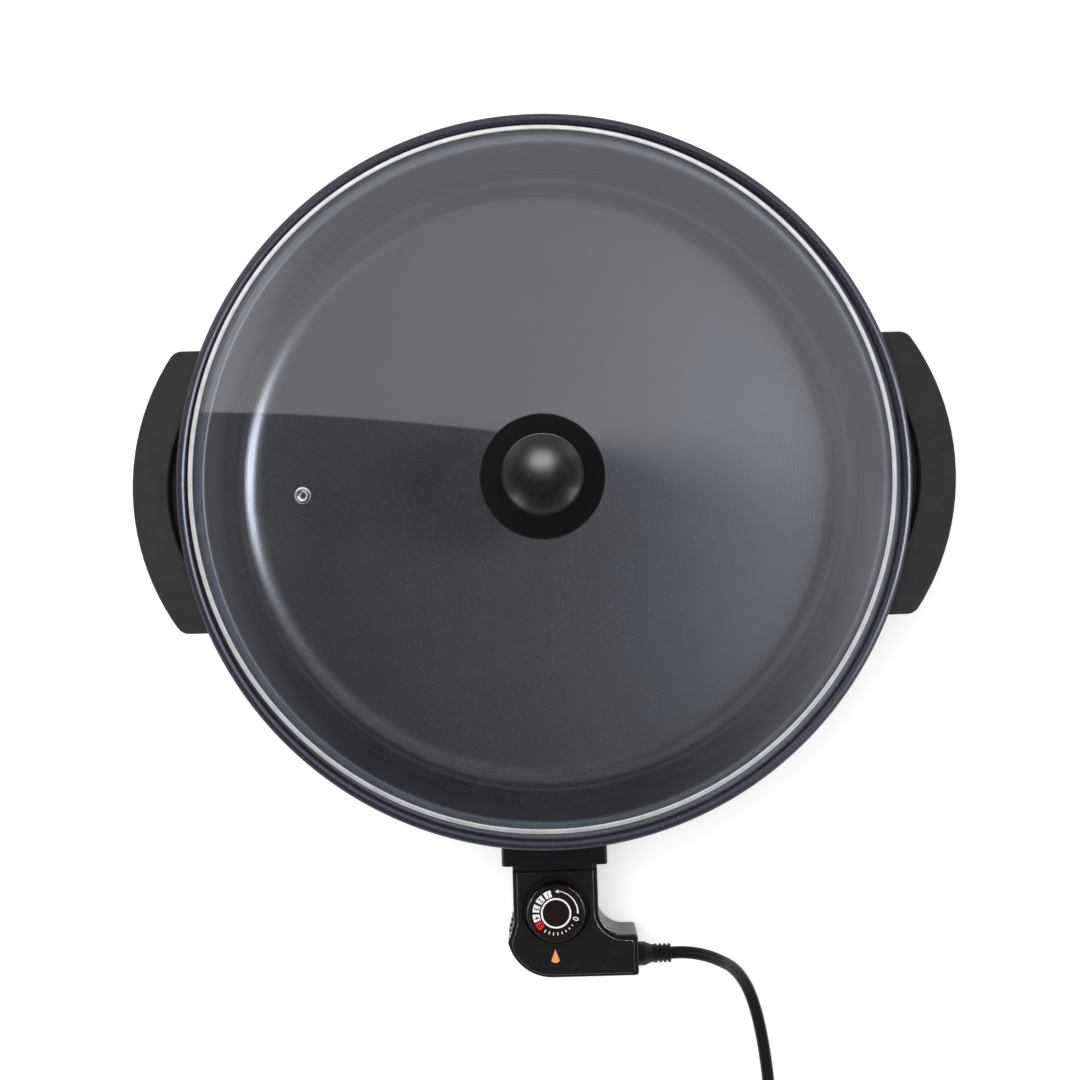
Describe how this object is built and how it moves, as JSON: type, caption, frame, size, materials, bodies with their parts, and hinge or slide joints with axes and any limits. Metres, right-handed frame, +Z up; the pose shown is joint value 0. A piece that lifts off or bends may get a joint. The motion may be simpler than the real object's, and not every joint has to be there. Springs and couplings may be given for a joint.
{
  "type": "electric skillet",
  "caption": "Round electric skillet with a lift-off glass lid, side handles, a plug-in thermostat control with a dial, and a mains lead.",
  "frame": {"origin": "on the table, below the centre of the skillet's box without its cord (the pan's axis is 44 mm behind it)", "axes": "+Z up; -Y points to the front, where the control plugs in; +X to the right, along the handles"},
  "size_m": [0.46, 0.6884, 0.1666],
  "materials": {
    "nonstick": "dark non-stick coating, satin, finely speckled",
    "sheath": "dull heat-darkened steel sheath",
    "pin_metal": "nickel-plated terminal pins",
    "ceramic": "white ceramic",
    "socket_metal": "cast aluminium",
    "shell_plastic": "black satin moulded plastic",
    "handle_plastic": "dark grey-black moulded phenolic",
    "screw_steel": "zinc-plated steel screws",
    "foot_rubber": "black silicone rubber",
    "lid_glass": "clear tempered glass",
    "band_steel": "polished stainless steel",
    "eyelet_steel": "polished stainless steel",
    "knob_plastic": "black phenolic with a soft sheen",
    "brass": "plain brass",
    "gasket_rubber": "silicone rubber",
    "probe_steel": "bright stainless tube",
    "block_plastic": "brown phenolic insulator",
    "frame_steel": "pressed steel",
    "blade_copper": "copper alloy spring blades",
    "dial_plastic": "black gloss dial",
    "dial_print": "printed dial face with plain numbers",
    "lens_amber": "amber translucent lens",
    "lamp_glass": "neon lamp glass",
    "wire_cover": "insulated lead wires",
    "cord_rubber": "black twin flex with a centre groove",
    "tie_rubber": "black rubber strap"
  },
  "bodies": {
    "skillet": {"pan": "nonstick", "heating_element": "sheath", "terminal_pins": "pin_metal", "terminal_bushes": "ceramic", "probe_socket": "socket_metal", "socket_guard": "shell_plastic", "guard_screws": "screw_steel", "handle_left": "handle_plastic", "handle_right": "handle_plastic", "handle_screws": "screw_steel", "foot_pads": "foot_rubber"},
    "lid": {"lid_glass": "lid_glass", "lid_band": "band_steel", "vent_eyelet": "eyelet_steel", "knob_skirt": "knob_plastic", "knob_grip": "knob_plastic", "knob_insert": "brass", "knob_screw": "screw_steel", "knob_washer": "band_steel", "knob_gasket": "gasket_rubber"},
    "control": {"control_base": "shell_plastic", "control_cover": "shell_plastic", "cover_screws": "screw_steel", "probe_tube": "probe_steel", "contact_sleeves": "brass", "terminal_block": "block_plastic", "switch_frame": "frame_steel", "fixed_blade": "blade_copper", "moving_blade": "blade_copper", "blade_mount": "ceramic", "pilot_lamp": "lamp_glass", "lamp_lens": "lens_amber", "cord_clamp": "block_plastic", "lead_wires": "wire_cover", "cord_boot": "cord_rubber", "cord_free": "cord_rubber", "cord_coil": "cord_rubber", "coil_tie": "tie_rubber", "plug_body": "cord_rubber", "plug_blades": "pin_metal"},
    "dial": {"dial_knob": "dial_plastic", "dial_face": "dial_print", "dial_spindle": "frame_steel", "spindle_clip": "frame_steel"},
    "adjuster": {"adjuster_stud": "ceramic"}
  },
  "joints": [
    {"name": "lid_lift", "type": "slide", "parent": "skillet", "child": "lid", "axis": [0, 0, 1], "range_m": [0, 0.15]},
    {"name": "control_unplug", "type": "slide", "parent": "skillet", "child": "control", "axis": [0, -1, 0], "range_m": [0, 0.11]},
    {"name": "dial_turn", "type": "hinge", "parent": "control", "child": "dial", "pos_m": [0, -0.2064, 0.042], "axis": [0, 0, -1], "range_deg": [0, 306]},
    {"name": "adjuster_slide", "type": "slide", "parent": "control", "child": "adjuster", "axis": [0, 0, -1], "range_m": [0, 0.000765]}
  ],
  "couplings": [
    {"joint": "adjuster_slide", "follows": "dial_turn", "m_per_rad": 0.00014324}
  ]
}
